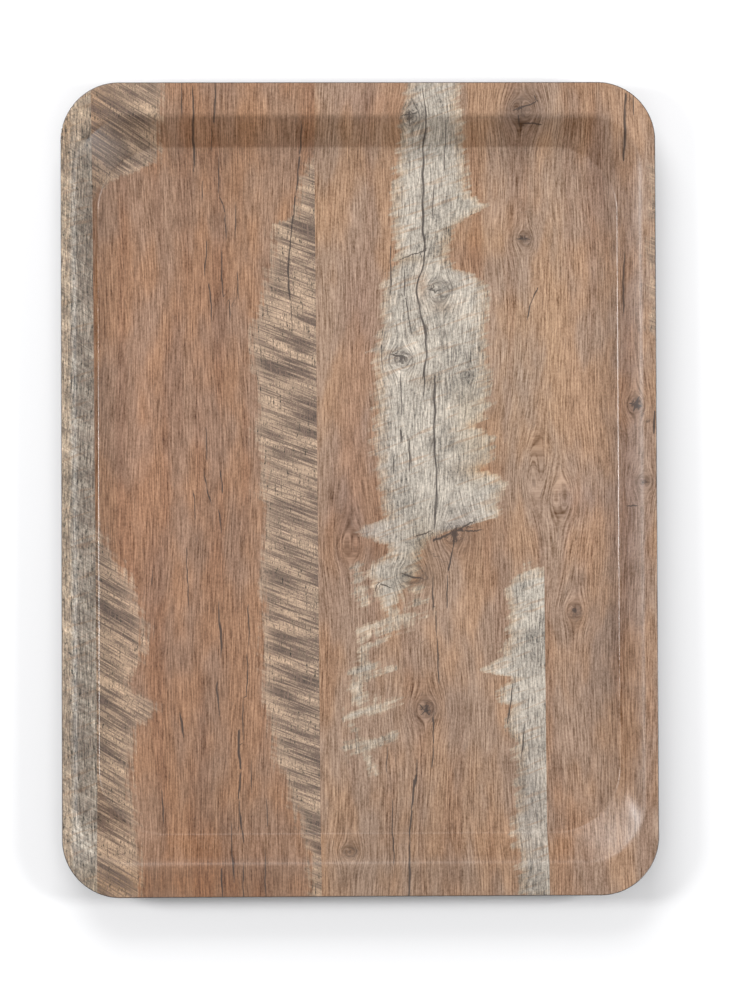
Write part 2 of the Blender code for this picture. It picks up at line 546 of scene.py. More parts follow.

# %% [markdown]
# Old planks are never one colour. Noise alone would put the light and dark stretches anywhere, so
# each is placed as a soft oval cloud that multiplies the wood's colour. Most of the clouds are stains
# of the print. Several wide flat ones make the near end darker. Two long narrow ones are painted
# light and shade on the side walls: painted shade with a bluish painted sheen on the right wall, and
# painted light on the left wall. A cloud's strength falls off as exp(-r^2), where r is 1 at its
# reach, and clouds that overlap multiply each other.

# %% Stains and painted wall shading
STAINS_AND_WALL_SHADING = [
    # x, y, reach across, reach along, and red, green and blue in percent
    (-76, 60, 14, 190, 92, 89, 88), (-110, -10, 16, 90, 103, 98, 96),
    (-100, -120, 14, 70, 94, 92, 90), (-72, -150, 12, 60, 97, 98, 98),
    (-60, 150, 40, 30, 101, 102, 100), (-48, 165, 10, 40, 104, 104, 104),
    (-17, 40, 5, 170, 106, 106, 104), (-3, 12, 14, 50, 87, 82, 83), (2, 92, 8, 30, 95, 90, 90),
    (-5, -15, 14, 18, 86, 82, 82), (4, -30, 14, 9, 84, 80, 78), (5, 198, 22, 10, 88, 82, 82),
    (57, 122, 9, 12, 80, 74, 72), (62, 128, 18, 8, 110, 106, 96), (64, 8, 9, 6, 112, 106, 98),
    (52, -24, 12, 12, 72, 70, 72), (84, 194, 12, 14, 80, 82, 86), (86, 129, 5, 5, 72, 72, 74),
    (82, 65, 13, 60, 106, 113, 118), (42, -115, 16, 22, 88, 87, 88),
    (15, -185, 60, 34, 86, 87, 88), (60, -150, 16, 40, 102, 102, 101),
    (101, 90, 6, 110, 107, 109, 108), (113, -6, 13, 9, 86, 86, 92), (134, -18, 8, 24, 86, 86, 90),
    (122, -82, 16, 34, 82, 82, 84), (111, -63, 4, 4, 66, 64, 66), (142, 43, 4, 5, 62, 62, 66),
    (146, 3, 5, 4, 70, 66, 64), (34, -113, 5, 5, 72, 70, 70), (36, -62, 9, 12, 106, 106, 106),
    (33, 105, 3, 8, 84, 72, 64), (58, 40, 10, 16, 90, 85, 78), (62, 22, 10, 8, 90, 84, 76),
    (62, 10, 12, 4, 90, 80, 70), (36, 56, 7, 3, 84, 78, 72), (27, 119, 8, 2, 94, 86, 76),
    (10, 45, 4, 22, 93, 89, 84), (43, 94, 7, 3, 88, 80, 74), (34, -28, 8, 14, 90, 86, 80),
    (30, -44, 16, 12, 94, 91, 86), (5, 110, 12, 60, 103, 103, 103), (87, -165, 9, 45, 80, 79, 80),
    # The wide flat ovals near y = -200 in this table make the near end darker.
    (-20, 190, 60, 7, 102, 100, 96), (-85, -200, 60, 12, 82, 75, 68),
    (-135, -200, 20, 10, 74, 70, 64), (-127, -110, 9, 60, 117, 116, 112),
    (-140, 192, 16, 22, 88, 80, 72), (45, -200, 60, 9, 95, 93, 90),
    # (139, 20, ...) is painted shade with a bluish painted sheen: it darkens the right side wall.
    (139, 20, 7, 150, 92, 93, 102), (125, 160, 8, 36, 92, 88, 88),
    (-85, 40, 12, 45, 107, 107, 107), (102, -155, 12, 50, 98, 96, 94),
    (118, -14, 16, 32, 110, 109, 109), (-40, -80, 10, 40, 107, 105, 103),
    (57, 142, 10, 20, 108, 108, 106), (-80, -203, 60, 8, 96, 88, 76),
    (-80, -162, 45, 16, 99, 95, 88), (30, -195, 50, 20, 97, 97, 97),
    # (-141, 10, ...) is painted light: it makes the left side wall lighter.
    (-118, 200, 16, 14, 88, 87, 86), (-141, 10, 6, 150, 105, 106, 106),
    (-143, 190, 12, 30, 88, 82, 76), (38, 160, 16, 22, 95, 95, 95),
    (-88, -105, 36, 40, 97, 95, 93), (0, 60, 9, 60, 97, 97, 99),
    (-60, 195, 70, 12, 103, 103, 101),
]
# Their product holds the stains, the darker near end, and the painted shade and light of the side
# walls.
stains_and_wall_shading = np.ones((len(X_MM), 3))
for x, y, wide, long, *colour in STAINS_AND_WALL_SHADING:
    share = np.exp(-(((X_MM - x) / wide) ** 2) - ((Y_MM - y) / long) ** 2)[:, None]
    stains_and_wall_shading *= 1 + share * (np.array(colour) / 100 - 1)
store("stains_and_wall_shading", "FLOAT_VECTOR", stains_and_wall_shading)

# %% [markdown]
# The edge is sanded after trimming, which cuts through the print and bares the dark core. How far a
# point lies inside the outline is a plain subtraction along the sides. In a corner it is the
# corner's radius less the distance to the middle of its arc.

# %% Trimmed edge
BARED_REACH = 1.5
inset_x, inset_y = 1000 * HALF_WIDTH - np.abs(X_MM), 1000 * HALF_LENGTH - np.abs(Y_MM)
corner_mm = 1000 * EDGE_CORNER_RADIUS
into_corner = np.hypot(np.maximum(corner_mm - inset_x, 0), np.maximum(corner_mm - inset_y, 0))
in_corner = (inset_x < corner_mm) & (inset_y < corner_mm)
inset = np.where(in_corner, corner_mm - into_corner, np.minimum(inset_x, inset_y))
store("bared", "FLOAT", np.clip(BARED_REACH - inset / (1000 * TRIM_FILLET), 0, 1))

# %% [markdown]
# The tray is wiped lengthwise, so the two long creases keep the gloss of the press while the rest
# has gone satin. That gloss is what draws a thin bright line along each of them. Trays are stacked
# on their rims and scrubbed at their ends, so the bend and the end creases are the dullest part.

# %% Polished and dulled places
POLISH_REACH_MM = 0.9
POLISH_END_MM = 150.0
POLISH_FADE_MM = 10.0
LEAST_POLISH = 0.05
BEND_REACH_MM = 3.5
END_CREASE_REACH_MM = 2.5
DULLED = 0.8


def belt(x_mm, y_mm, reach):
    """1 on the lines at +-x_mm and +-y_mm, falling off as exp(-(distance / reach)^4)."""
    across = np.exp(-(((np.abs(X_MM) - x_mm) / reach) ** 4)) if x_mm else 0
    along = np.exp(-(((np.abs(Y_MM) - y_mm) / reach) ** 4)) if y_mm else 0
    return np.maximum(across, along)


crease_x_mm = 1000 * (HALF_WIDTH - SIDE_LIP_WIDTH - SIDE_WALL_RUN)
crease_y_mm = 1000 * (HALF_LENGTH - END_GRIP_WIDTH - END_WALL_RUN)
bend_x_mm, bend_y_mm = crease_x_mm + 1000 * SIDE_WALL_RUN, crease_y_mm + 1000 * END_WALL_RUN
polished = belt(crease_x_mm, None, POLISH_REACH_MM)
polished = polished * np.clip((POLISH_END_MM - np.abs(Y_MM)) / POLISH_FADE_MM, 0, 1)
dulled = belt(bend_x_mm, bend_y_mm, BEND_REACH_MM)
dulled = np.maximum(dulled, belt(None, crease_y_mm, END_CREASE_REACH_MM))
store("polish", "FLOAT", np.where(polished > LEAST_POLISH, polished, -DULLED * dulled))

# %% [markdown]
# ## Cracks and knots
# A crack is a thin dark line that opens in its middle and closes at its ends. Each could be its own
# group of nodes, but many dozens of groups are slow and overfill the shader. A straight line's
# signed distance changes evenly from point to point, so the vertices can carry it exactly: the
# offset from the nearest crack, how near that is, and how wide the crack is open there. The second
# number hides the places where the nearest crack changes and the offset jumps past zero.

# %% Cracks of the print
CRACKS = [
    # from x, y, to x, y, half width
    (-84.6, 208, -84.5, 163, 0.5), (-90.5, 210, -90.3, 189, 0.3), (-73, 210, -74, 187, 0.4),
    (-75, 186, -75, 174, 0.3), (-71, 173, -72, 151, 0.3), (-71.5, 152, -68.2, 142, 0.3),
    (-68.4, 143, -68, 128, 0.3), (-80, 160, -80, 149, 0.3), (-78, 130, -79, 109, 0.3),
    (-70.5, 127, -69.5, 96, 0.3), (-63, 150, -63, 129, 0.25), (-62, 114, -62, 97, 0.25),
    (-77, 108, -75, 83, 0.3), (-66.5, 99, -65.5, 87, 0.3), (-79, 33, -78, 14, 0.3),
    (-80, 11, -76, -9, 0.3), (-71.5, 11, -70, -3, 0.25), (-85.5, 1, -84, -16, 0.3),
    (-72, -9, -71, -23, 0.3), (-89, -28, -88, -62, 0.3), (-106.5, -40, -106.3, -50, 0.25),
    (-72.5, -56, -71, -87, 0.5), (-57, -58, -57, -82, 0.3), (-73.5, -98, -72.5, -117, 0.4),
    (-58, -83, -58, -109, 0.3), (-60, -106, -60, -130, 0.35), (-92, -114, -91, -128, 0.6),
    (-62.5, -123, -61.5, -146, 0.5), (-61.5, -144, -62.5, -161, 0.4),
    (-62.5, -159, -60, -182, 0.45), (-56, -138, -56, -157, 0.3), (-48, -158, -48, -174, 0.3),
    (-66.5, -170, -65, -202, 0.5), (-49, -183, -49, -212, 0.4), (-71, -193, -71, -212, 0.4),
    (-60, -190, -60, -212, 0.35), (-102, -153, -101, -172, 0.35), (-29, 190, -29.5, 170, 0.35),
    (-29.5, 173, -32, 152, 0.35), (-32, 154, -33, 142, 0.4), (-33, 144, -35, 129, 0.5),
    (-35, 131, -36, 108, 0.55), (-36, 111, -35, 97, 0.5), (-35, 98, -34, 82, 0.3),
    (39.5, -62, 40, -76, 0.4), (40, -74, 41, -101, 0.45), (38, -113, 38, -133, 0.45),
    (38, -131, 37, -144, 0.4), (27.6, -149, 26.5, -166, 0.5), (26.6, -163, 25.4, -182, 0.55),
    (25.5, -178, 24, -214, 0.7), (16.5, -158, 17, -194, 0.35), (29, -138, 29, -152, 0.3),
    (14, -131, 14, -147, 0.25), (45.5, -43, 45.5, -62, 0.35), (38, -43, 38, -67, 0.35),
    (17, 127, 17, 99, 0.3), (24, 114, 24, 99, 0.4), (24, 101, 28, 79, 0.4),
    (12, 77, 12, 59, 0.25), (22, 61, 22, 37, 0.35), (21.5, 31, 21.5, 24, 0.45),
    (26, 27, 26, 8, 0.3), (18, 19, 18, 7, 0.25), (45, 192, 45, 163, 0.3),
    (39, 161, 39, 139, 0.3), (79, -100, 76, -122, 0.45), (85, -120, 83, -140, 0.4),
    (93, 105, 89, 96, 0.35), (89.2, 97, 87, 86, 0.35), (137.3, 203, 137, 168, 0.75),
    (141.5, 204, 141.3, 191, 0.5), (137, 123, 136.5, 88, 0.45), (151, 40, 151, 27, 0.5),
    (37, -27, 49, -22, 0.7), (47, -23, 60, -16, 0.5), (48, -22, 64, -21, 0.45),
    (49, -20, 48.5, -31, 0.5), (48.6, -30, 45.5, -43, 0.45), (137.5, -9, 143, -9, 0.4),
    (79, 194, 92, 198, 0.45), (92, 198, 90.5, 202, 0.35), (82, 192, 83, 186, 0.4),
    (84, 188, 95, 187, 0.4), (20, 118, 35, 123.5, 0.3), (28, -25, 38, -21, 0.35),
    (22, -43.5, 33, -46, 0.6), (9, -48, 17, -51, 0.4), (9, -49, 8, -53, 0.3),
    (36, 103, 43, 103, 0.5), (39, 106, 39.5, 101, 0.35), (82, 129, 89, 129, 0.5),
    (86, 131, 88, 126, 0.4), (22, 191, 31, 193, 0.45), (27, 186, 26, 195, 0.5),
    (16, 70, 25, 68, 0.5), (20, 72, 23, 64, 0.4), (31, -110, 36, -117, 0.4),
    (31, -116, 36, -111, 0.35), (144, 47, 141, 39, 0.6), (139, 44, 145, 42, 0.5),
]
LONG_CRACK = [
    # y, x
    (212, 33), (200, 33.5), (192, 35), (186, 34.8), (178, 33.9), (134, 33.6), (122, 34.6),
    (116, 34), (108, 30.8), (101, 30), (95, 31.4), (88, 33), (79, 35), (71, 35.2), (60, 33.9),
    (44, 33.2),
]
SECOND_CRACK = [
    (62, 39.5), (40, 39.3), (26, 38.8), (12, 39.9), (2, 40.3), (-12, 39.6), (-26, 37.8),
]
DRAWN_HALF_WIDTH = 0.6
NOTHING_BEYOND = 9.0


def straight_cracks():
    """Offset to the left of each line, plus a slow sway; distance past its ends; its opening.

    The opening is the half width times sqrt(1 - t^2), where t runs from -1 to 1 along it.
    """
    x0, y0, x1, y1, width = (column[:, None] for column in np.array(CRACKS, float).T)
    length = np.hypot(x1 - x0, y1 - y0)
    to_x, to_y = (x1 - x0) / length, (y1 - y0) / length
    run = (X_MM - x0) * to_x + (Y_MM - y0) * to_y
    offset = (X_MM - x0) * to_y - (Y_MM - y0) * to_x
    offset = offset + 0.2 * np.sin(run / 3.7 + 5 * x0) + 0.1 * np.sin(run / 1.3 + 3 * y0)
    share = 2 * run / length - 1
    beyond = (np.abs(share) - 1) * length / 2
    return offset, beyond, width * np.sqrt(np.clip(1 - share**2, 0, None))


def drawn_crack(points):
    """The same three values for a crack through a list of (y, x). It opens as 1 - t^6."""
    up, side = np.array(sorted(points), float).T
    offset = X_MM - np.interp(Y_MM, up, side) + 0.25 * np.sin(Y_MM / 2.3)
    middle, reach = (up[0] + up[-1]) / 2, (up[-1] - up[0]) / 2
    share = (Y_MM - middle) / reach
    opening = DRAWN_HALF_WIDTH * np.clip(1 - share**6, 0, None)
    return offset[None], ((np.abs(share) - 1) * reach)[None], opening[None]


def nearest_crack():
    """For each vertex, the offset, nearness and opening of the crack that lies nearest."""
    found = [straight_cracks(), drawn_crack(LONG_CRACK), drawn_crack(SECOND_CRACK)]
    offset, beyond, opening = (np.concatenate(parts) for parts in zip(*found))
    away = np.hypot(offset, np.maximum(beyond, 0))
    pick = away.argmin(0), np.arange(len(X_MM))
    signed = np.clip(offset[pick], -NOTHING_BEYOND, NOTHING_BEYOND)
    return np.stack([signed, np.minimum(away[pick], NOTHING_BEYOND), opening[pick]], 1)


store("crack_at", "FLOAT_VECTOR", nearest_crack())

# %% [markdown]
# A knot is where a branch grew through the plank: rings squeezed into an oval round a dark heart.
# Each vertex carries its place in the nearest knot, in which the knot is a circle of radius one.

# %% Knots of the print
KNOT_SHAPES = [
    # x, y, half width, half length, heart, rings
    (27, 191, 6.5, 7, 0.7, 0.5), (42, 103, 8, 6, 0.1, 0.8), (22, 67, 6.5, 5.5, 0.5, 1.0),
    (55, 59, 3.5, 2.5, 0.2, 0.8), (49, -23, 8, 8, 0.9, 0.3), (26, -44, 11, 7, 0.0, 0.8),
    (34, -113, 6, 7, 0.6, 0.4), (-6, -186, 4.5, 3.5, 0.2, 0.9), (86, 129, 5, 3, 0.7, 0.1),
    (84, 194, 11, 11, 0.2, 0.3), (142, 43, 4, 5, 0.8, 0.2), (111, -63, 4, 4, 0.7, 0.4),
    (146, 3, 5, 3, 0.5, 0.2), (148, 34, 3, 3, 0.6, 0.1),
]


def nearest_knot():
    """((x - middle) / half width, (y - middle) / half length) of the nearest knot, and its mood.

    The mood is how dark its heart is and how clear its rings are, each from 0 to 1.
    """
    x, y, wide, long, heart, rings = (c[:, None] for c in np.array(KNOT_SHAPES, float).T)
    dx, dy = (X_MM - x) / wide, (Y_MM - y) / long
    pick = np.hypot(dx, dy).argmin(0)
    each = np.arange(len(X_MM))
    place = np.stack([dx[pick, each], dy[pick, each], 0 * X_MM], 1)
    mood = np.stack([heart[pick, 0], rings[pick, 0], 0 * X_MM], 1)
    return np.clip(place, -NOTHING_BEYOND, NOTHING_BEYOND), mood


knot_place, knot_mood = nearest_knot()
store("knot_at", "FLOAT_VECTOR", knot_place)
store("knot_mood", "FLOAT_VECTOR", knot_mood)

# %% [markdown]
# ## A short way to write nodes
# A material with a few hundred nodes is hard to read when every node and link is its own line. A
# Signal stands for the output of one node. Adding, multiplying or comparing signals adds the Math
# nodes, so that a pattern reads like the formula it is.


# %% Signals
class Signal:
    """The output of one node. Arithmetic on it adds Math nodes to the same tree."""

    def __init__(self, tree, socket):
        self.tree, self.socket = tree, socket

    def math(self, operation, *others):
        return add_node(self.tree, "ShaderNodeMath", self, *others, operation=operation)

    def __add__(self, other):
        return self.math("ADD", other)

    def __sub__(self, other):
        return self.math("SUBTRACT", other)

    def __rsub__(self, other):
        return add_node(self.tree, "ShaderNodeMath", other, self, operation="SUBTRACT")

    def __mul__(self, other):
        return self.math("MULTIPLY", other)

    def __truediv__(self, other):
        return self.math("DIVIDE", other)

    def __abs__(self):
        return self.math("ABSOLUTE")

    def high(self, other):
        return self.math("MAXIMUM", other)

    def low(self, other):
        return self.math("MINIMUM", other)

    def power(self, other):
        return self.math("POWER", other)

    __radd__ = __add__


def feed(tree, socket, value):
    """Link a signal to a socket, or set a plain value on it."""
    if isinstance(value, Signal):
        tree.links.new(value.socket, socket)
    else:
        socket.default_value = value


def add_node(tree, kind, *inputs, output=0, **settings):
    """Add a node, set its properties, feed its inputs in order, and return one output."""
    node = tree.nodes.new(kind)
    for name, value in settings.items():
        setattr(node, name, value)
    for socket, value in zip(node.inputs, inputs):
        if value is not None:
            feed(tree, socket, value)
    return Signal(tree, node.outputs[output])


def attribute(tree, name, output="Vector"):
    """What `store` put on the vertices: a vector, or one value from the output "Fac"."""
    return add_node(tree, "ShaderNodeAttribute", output=output, attribute_name=name)


def split(vector):
    """The three parts of a vector signal."""
    node = vector.tree.nodes.new("ShaderNodeSeparateXYZ")
    vector.tree.links.new(vector.socket, node.inputs[0])
    return [Signal(vector.tree, part) for part in node.outputs]


def noise(at, across, along, detail=1.0, sharp=0.5, shift=0.0, turn=0.0):
    """Noise with `across` and `along` waves per unit, turned by `turn`, another for each `shift`."""
    tree = at.tree
    place = (97.0 * shift, 61.0 * shift, 0.0)
    stretch = (1 / across, 1 / along, 1.0)
    moved = add_node(
        tree, "ShaderNodeMapping", at, place, (0.0, 0.0, turn), stretch, vector_type="TEXTURE"
    )
    node = tree.nodes.new("ShaderNodeTexNoise")
    node.noise_dimensions = "2D"
    tree.links.new(moved.socket, node.inputs["Vector"])
    node.inputs["Scale"].default_value = 1.0
    node.inputs["Detail"].default_value = detail
    node.inputs["Roughness"].default_value = sharp
    return Signal(tree, node.outputs[0])


def ramp(value, low, high):
    """0 below `low`, 1 above `high`, and a smooth step between them. It may also run downwards."""
    if low > high:
        return 1.0 - ramp(value, high, low)
    node = value.tree.nodes.new("ShaderNodeMapRange")
    node.interpolation_type = "SMOOTHSTEP"
    for socket, entry in zip(node.inputs[:3], (value, low, high)):
        feed(value.tree, socket, entry)
    return Signal(value.tree, node.outputs[0])


def mix(share, first, second, blend="MIX"):
    """Colour `first` turning into `second` as `share` goes from 0 to 1."""
    tree = share.tree
    node = tree.nodes.new("ShaderNodeMix")
    node.data_type, node.blend_type = "RGBA", blend
    sockets = [s for s in node.inputs if s.enabled]
    for socket, value in zip(sockets, (share, first, second)):
        feed(tree, socket, value)
    return Signal(tree, next(s for s in node.outputs if s.enabled))


def tone(red, green, blue):
    """A colour from 0 to 255 as it looks, in the linear values that the shader wants."""
    seen = np.array([red, green, blue]) / 255
    linear = np.where(seen < 0.04045, seen / 12.92, ((seen + 0.055) / 1.055) ** 2.4)
    return (*[round(float(c), 4) for c in linear], 1.0)


# %% [markdown]
# ## The wood print
# A print is laid down in layers: brown wood, saw-marked edges, grey weathered wood, then the cracks
# and knots. Each layer has its own function, which takes a colour and returns a richer one, so a
# layer can be judged alone. First come the colours, written as they look.

# %% Colours of the print
RED_BROWN = tone(141, 107, 83)
WARM_BROWN = tone(148, 118, 95)
TAN_BROWN = tone(150, 120, 97)
GREY_GREEN = tone(166, 157, 145)
OCHRE = tone(166, 148, 127)
KHAKI = tone(172, 147, 124)
SAW_DARK = tone(80, 63, 55)
WEATHERED = tone(171, 162, 150)
FRINGE = tone(164, 138, 110)
CROSS_TAN = tone(150, 120, 92)
FISSURE = tone(92, 80, 69)
DEEP = tone(46, 35, 31)
CORE_BROWN = tone(62, 52, 46)

# %% [markdown]
# Brown wood is soft streaks and bands, fine grain, flecks and short dark pores. An image of wood
# would bring its own joints and knots. Here each of these is the same noise, stretched along the
# grain at its own size, so nothing repeats and every part stays sharp from near by.


# %% Brown wood
PALE_SHARE = (0.86, 1.02, 1.20)


def shade(colour, light):
    """A colour made lighter or darker by a signal that is about 1."""
    return add_node(colour.tree, "ShaderNodeVectorMath", colour, light, operation="MULTIPLY")


def greyer_when_pale(light):
    """1 + light, with more of it in blue than in red, because a pale streak is a greyer one."""
    return add_node(
        light.tree, "ShaderNodeVectorMath", light, PALE_SHARE, (1.0, 1.0, 1.0),
        operation="MULTIPLY_ADD",
    )


def wood_grain(colour, grain):
    """Multiply a colour by streaks, grain, flecks and pores along the planks."""
    streak = noise(grain, 0.10, 0.008, shift=2.0) - 0.5
    band = noise(grain, 0.45, 0.02, shift=5.0) - 0.5
    fine = noise(grain, 1.3, 0.07, sharp=0.8, shift=9.0) - 0.5
    fleck = noise(grain, 1.0, 0.6, sharp=0.9, shift=10.0) - 0.5
    pore = ramp(noise(grain, 1.5, 0.14, shift=13.0), 0.62, 0.78)
    light = streak * 0.5 + band * 0.3 + fine * 2.0 + fleck * 0.95
    toned = shade(colour, greyer_when_pale(light))
    redder = mix(ramp(streak, 0.0, -0.2) * 0.4, toned, shade(toned, (0.94, 0.86, 0.84)))
    warm, cool = shade(redder, (1.05, 1.0, 0.92)), shade(redder, (0.94, 0.99, 1.06))
    tint = ramp(noise(grain, 0.05, 0.018, detail=2.0, shift=3.0), 0.36, 0.62)
    return mix(pore * 0.22, mix(tint, warm, cool), DEEP)


# %% [markdown]
# A saw leaves dark bars across the grain, and the torn threads of the wood break them up. Bars from
# a wave alone look like a comb, and noise alone has no beat. So the wave gets a phase that wanders,
# noise stretched along the bars makes each one different, and ticks and threads cross them.


# %% Saw marks
BITE = 0.73
WANDER = 14.0


def saw_marks(colour, marks, grain, strength):
    """Bar a colour with dark marks across the grain. The beat is sin(BITE * mm + WANDER * noise)."""
    _, across, _ = split(marks)
    drift = noise(marks, 0.02, 0.05, detail=2.0, shift=4.0) - 0.5
    rhythm = (across * BITE + drift * WANDER).math("SINE") * 0.5 + 0.5
    broad = noise(marks, 0.03, 0.11, shift=5.0)
    narrow = noise(marks, 0.04, 0.85, sharp=1.0, shift=7.0)
    ticks = noise(grain, 0.9, 0.5, sharp=0.9, shift=11.0) - 0.5
    thread = noise(grain, 1.15, 0.08, sharp=0.8, shift=17.0) - 0.5
    depth = broad * 0.6 + narrow * 0.75 + rhythm * 0.12 + ticks * 0.7 + thread * 0.5
    dark = mix(ramp(depth, 0.60, 0.89) * strength, colour, SAW_DARK)
    return shade(dark, 1.0 + ticks * 2.1 + thread * 1.9)


# %% [markdown]
# Weathered wood has lost its brown. It is dry and finely split, with pale fibres that stand up, and
# faint tan marks still rise across it. A split is drawn where a noise crosses its own middle value:
# that gives long thin lines that meet and part as splits do.


# %% Weathered wood
MARK_RISE = math.radians(19)


def weathered(colour, point, grain, speckled=1.1):
    """Dry grey wood: splits along the grain, pale fibres, a speckle and faint tan cross marks."""
    splits = noise(grain, 0.55, 0.03, sharp=0.8, shift=21.0)
    thin = ramp(abs(splits - 0.5), 0.04, 0.0)
    fibre = noise(grain, 1.0, 0.12, sharp=0.9, shift=23.0) - 0.5
    speckle = noise(point, 0.9, 0.7, sharp=0.9, shift=25.0) - 0.5
    cloud = noise(point, 0.05, 0.03, detail=2.0, shift=27.0) - 0.5
    rising = noise(point, 0.04, 0.50, detail=3.0, shift=28.0, turn=MARK_RISE)
    crossed = mix(ramp(rising, 0.56, 0.70) * 0.45, colour, CROSS_TAN)
    toned = shade(crossed, 1.0 + fibre * 1.8 + speckle * speckled + cloud)
    return mix(thin * 0.55, toned, FISSURE)


# %% [markdown]
# Cracks and knots are drawn from the values on the vertices. Noise pushes their edges about, because
# a crack runs from fibre to fibre and the rings of a knot are never true circles.


# %% Draw the cracks and knots
RINGS = 14.0


def cracks(tree, fray):
    """Dark where the offset is within the opening, with frayed sides."""
    offset, near, opening = split(attribute(tree, "crack_at"))
    away = abs(offset + fray * 1.6) / (opening * 0.8 + 0.02)
    return ramp(away, 1.7, 0.5) * ramp(near, 2.2, 1.4) * ramp(opening, 0.04, 0.2)


def knots(tree, point):
    """Rings are sin(RINGS * wobbling distance), and the heart is where that distance is small."""
    dx, dy, _ = split(attribute(tree, "knot_at"))
    heart, rings, _ = split(attribute(tree, "knot_mood"))
    wobble = noise(point, 0.30, 0.30, detail=3.0, shift=43.0) - 0.5
    far = (dx * dx + dy * dy).power(0.5) + wobble * 0.9
    ring = ((far * RINGS).math("SINE") * 0.5 + 0.5) * ramp(far, 1.35, 0.8)
    outline = ramp(abs(far - 0.75), 0.16, 0.0) * ramp(dx * 0.3 + wobble, -0.15, 0.15)
    split_lines = ramp(abs(noise(point, 0.4, 0.4, detail=2.0, shift=45.0) - 0.5), 0.05, 0.0)
    centre = split_lines * ramp(far, 0.9, 0.3) + ramp(far, 0.5, 0.0)
    return ((ring * 0.4 + outline * 0.8) * rings + centre * heart).low(1.0)


# %% [markdown]
# The layers are stacked as a print is: the brown planks first, then the saw-marked edges, then the
# grey patches with a tan fringe, then the grey-green plank at the left edge, and the dark cracks and
# knots on top of all of them.


# %% The whole print
JOINTS = (-135.75, -21.3, 95.2)
JOINT_LEAN = -0.0055
JOINT_HALF_WIDTH = 0.12


def plank_line(across, along, place):
    """1 to the right of a joint between planks, 0 to its left, with a hair-sharp edge."""
    return ramp(across - along * JOINT_LEAN, place - JOINT_HALF_WIDTH, place + JOINT_HALF_WIDTH)


def print_colour(tree, point):
    """The colour of each point, and the fraying noise, which also roughens the surface.

    The stains, with the painted shade and light of the side walls, are read anew for each layer. A
    value kept over the whole stack would take up room in the shader's memory, which is small.
    """
    across, along, _ = split(point)
    grain = attribute(tree, "grain_at")
    marks = attribute(tree, "saw_at")
    lines = [plank_line(across, along, place) for place in JOINTS]
    right_of_left, right_of_middle, right_of_right = lines
    third_plank = right_of_middle - right_of_right

    brown = mix(right_of_middle, RED_BROWN, WARM_BROWN)
    brown = mix(right_of_right, brown, TAN_BROWN)
    # The stains carry the painted shade and light of the side walls with them.
    brown = wood_grain(shade(brown, attribute(tree, "stains_and_wall_shading")), grain)

    teeth = noise(marks, 0.045, 0.40, detail=3.0, shift=31.0) - 0.5
    fray = noise(grain, 0.5, 0.03, detail=3.0, sharp=0.6, shift=35.0) - 0.5
    saw = ramp(attribute(tree, "saw_depth", "Fac") + teeth * 8.0 + fray * 13.0, -2.5, 5.0)
    saw = saw * (1.0 - third_plank)
    khaki = mix(ramp(saw, 0.1, 0.8), brown, shade(attribute(tree, "stains_and_wall_shading"), KHAKI[:3]))
    strength = ramp(attribute(tree, "saw_depth", "Fac") + teeth * 6.0, -2.0, 10.0) * 0.55 + 0.35
    colour = mix(saw, brown, saw_marks(khaki, marks, grain, strength))

    rise = noise(point, 0.04, 0.32, detail=4.0, sharp=0.6, shift=33.0, turn=MARK_RISE) - 0.5
    depth = attribute(tree, "grey_depth", "Fac") + rise * 13.0 + fray * 7.0
    grey = ramp(depth, -1.2, 2.2) * third_plank
    stained = mix(ramp(depth, 9.0, 0.0) * 0.6, WEATHERED, FRINGE)
    aged = shade(weathered(stained, point, grain), attribute(tree, "stains_and_wall_shading"))
    colour = mix(grey, colour, aged)

    edge = ramp(across + teeth * 3.0, -146.0, -149.0)
    left = shade(mix(edge, GREY_GREEN, OCHRE), attribute(tree, "stains_and_wall_shading"))
    left = saw_marks(weathered(left, point, grain, 0.5), marks, grain, 0.45)
    colour = mix(right_of_left, left, colour)

    dark = cracks(tree, fray).high(knots(tree, point))
    colour = mix(dark * 0.85, colour, DEEP)
    return mix(ramp(attribute(tree, "bared", "Fac"), 0.4, 0.7), colour, CORE_BROWN), fray


# %% [markdown]
# The resin overlay gives one even satin sheen over the whole print. It is not perfectly smooth: it
# carries the faint orange peel of the press plate, and handling leaves it a little duller in places.
# A clear shell over the print would show nothing more, so the sheen is put on the print itself.

# %% The face material
SATIN = 0.34
GLOSS_GAIN = 0.55


def new_material(name):
    """A material, its nodes, its shader, and each point's place in millimetres."""
    material = bpy.data.materials.new(name)
    material.use_nodes = True
    tree = material.node_tree
    shader = next(n for n in tree.nodes if n.type == "BSDF_PRINCIPLED")
    place = add_node(tree, "ShaderNodeTexCoord", output=3)
    to_mm = (1000.0, 1000.0, 1000.0)
    point = add_node(tree, "ShaderNodeVectorMath", place, to_mm, operation="MULTIPLY")
    return material, tree, shader, point


def bumped(tree, shader, height, distance):
    """Tilt the surface as if a height of 1 stood `distance` metres up."""
    node = tree.nodes.new("ShaderNodeBump")
    node.inputs["Strength"].default_value = 1.0
    node.inputs["Distance"].default_value = distance
    feed(tree, node.inputs["Height"], height)
    tree.links.new(node.outputs["Normal"], shader.inputs["Normal"])


def plank_print():
    material, tree, shader, point = new_material("plank_print")
    colour, fray = print_colour(tree, point)
    feed(tree, shader.inputs["Base Color"], colour)
    handled = noise(point, 0.012, 0.012, detail=3.0, shift=51.0) - 0.5
    peel = noise(point, 0.9, 0.9, detail=2.0, shift=53.0)
    rough = handled * 0.14 + (peel - 0.5) * 0.06 + SATIN
    polish = attribute(tree, "polish", "Fac")
    feed(tree, shader.inputs["Roughness"], rough * (1.0 - polish * GLOSS_GAIN))
    bumped(tree, shader, peel * 0.6 + fray * 0.4, 0.00002)
    return material


